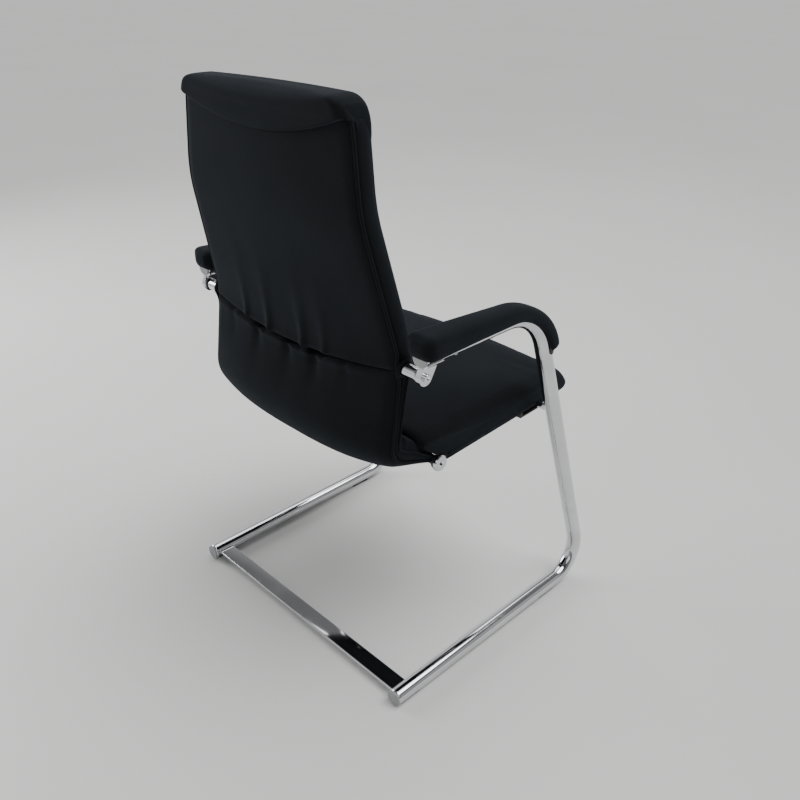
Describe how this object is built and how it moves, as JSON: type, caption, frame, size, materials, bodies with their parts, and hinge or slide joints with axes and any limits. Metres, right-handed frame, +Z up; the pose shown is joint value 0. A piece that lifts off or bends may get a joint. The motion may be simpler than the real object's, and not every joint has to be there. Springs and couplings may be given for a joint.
{
  "type": "cantilever chair",
  "caption": "Upholstered cantilever visitor chair with chromed tube frame and padded arms, whose back tilts while the hinged seat slides forward with it",
  "frame": {"origin": "on the floor, in the middle of the chair's outline", "axes": "the chair faces -Y, the sitter's left is +X and Z is up"},
  "size_m": [0.608, 0.5154, 0.969],
  "materials": {
    "chrome": "polished",
    "grey_plastic": "satin",
    "black_fabric": "woven, matte",
    "plywood": "raw",
    "black_steel": "satin",
    "zinc_steel": "plated",
    "black_plastic": "matte"
  },
  "bodies": {
    "frame": {"side_tube_left": "chrome", "side_tube_right": "chrome", "runner_cap_left": "grey_plastic", "runner_cap_right": "grey_plastic", "arm_cap_left": "grey_plastic", "arm_cap_right": "grey_plastic", "arm_bracket_left": "chrome", "arm_bracket_right": "chrome", "arm_pad_left": "black_fabric", "arm_pad_right": "black_fabric", "arm_pad_core_left": "black_plastic", "arm_pad_core_right": "black_plastic", "rear_cross_bar": "chrome", "front_cross_tube": "chrome", "rear_cross_tube": "chrome", "cross_tube_plugs": "zinc_steel", "pivot_screws": "chrome", "runner_glides": "black_plastic", "arm_pad_screws": "zinc_steel"},
    "back": {"back_shell": "plywood", "back_cushion": "black_fabric", "head_roll": "black_fabric", "rear_cover_upper": "black_fabric", "rear_cover_lower": "black_fabric", "pivot_block_screws": "zinc_steel", "tail_arm_screws": "zinc_steel", "pivot_block_left": "black_plastic", "pivot_block_right": "black_plastic", "pivot_bush_left": "black_plastic", "pivot_bush_right": "black_plastic", "tail_arm_left": "black_steel", "tail_arm_right": "black_steel", "hinge_pin_left": "chrome", "hinge_pin_right": "chrome", "hinge_washer_left": "black_plastic", "hinge_washer_right": "black_plastic"},
    "seat": {"seat_pan": "plywood", "seat_cushion": "black_fabric", "seat_ear_screws": "zinc_steel", "glide_screws": "zinc_steel", "seat_ear_left": "black_steel", "seat_ear_right": "black_steel", "ear_bush_left": "black_plastic", "ear_bush_right": "black_plastic", "glide_left": "black_plastic", "glide_right": "black_plastic"}
  },
  "joints": [
    {"name": "recline", "type": "hinge", "parent": "frame", "child": "back", "pos_m": [0, 0.184, 0.594], "axis": [-1, 0, 0], "range_deg": [0, 10], "stiffness_Nm_per_rad": 60, "springref_deg": -14.32},
    {"name": "seat_tilt", "type": "hinge", "parent": "back", "child": "seat", "pos_m": [0, 0.118, 0.408], "axis": [1, 0, 0], "range_deg": [0, 13]}
  ],
  "couplings": [
    {"joint": "seat_tilt", "follows": "recline", "ratio": 1.3}
  ]
}
